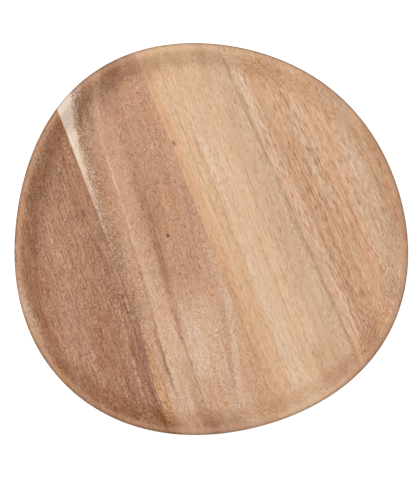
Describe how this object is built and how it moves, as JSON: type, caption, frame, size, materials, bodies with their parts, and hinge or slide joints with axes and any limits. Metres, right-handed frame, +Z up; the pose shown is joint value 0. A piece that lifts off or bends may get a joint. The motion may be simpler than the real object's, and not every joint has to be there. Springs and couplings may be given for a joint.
{
  "type": "wooden plate",
  "caption": "Shallow wooden plate with a soft pebble outline, flat floor, coved wall and rounded lip, made of edge-glued staves, for serving food.",
  "frame": {"origin": "centre of the plate's box, on the table that the base rests on", "axes": "+Z up from the table, +Y along the grain, +X across the staves from the left one to the right one"},
  "size_m": [0.2822, 0.2828, 0.02],
  "materials": {
    "left_stave_wood": "oiled satin, red-brown heartwood",
    "left_centre_stave_wood": "oiled satin, brown to pink-tan with a pale sapwood wedge",
    "right_centre_stave_wood": "oiled satin, pale honey",
    "right_stave_wood": "oiled satin, striped golden brown",
    "glue": "cured wood glue, sanded flush"
  },
  "bodies": {
    "root": {"left_stave": "left_stave_wood", "left_centre_stave": "left_centre_stave_wood", "right_centre_stave": "right_centre_stave_wood", "right_stave": "right_stave_wood", "left_glue_line": "glue", "centre_glue_line": "glue", "right_glue_line": "glue"}
  },
  "joints": []
}
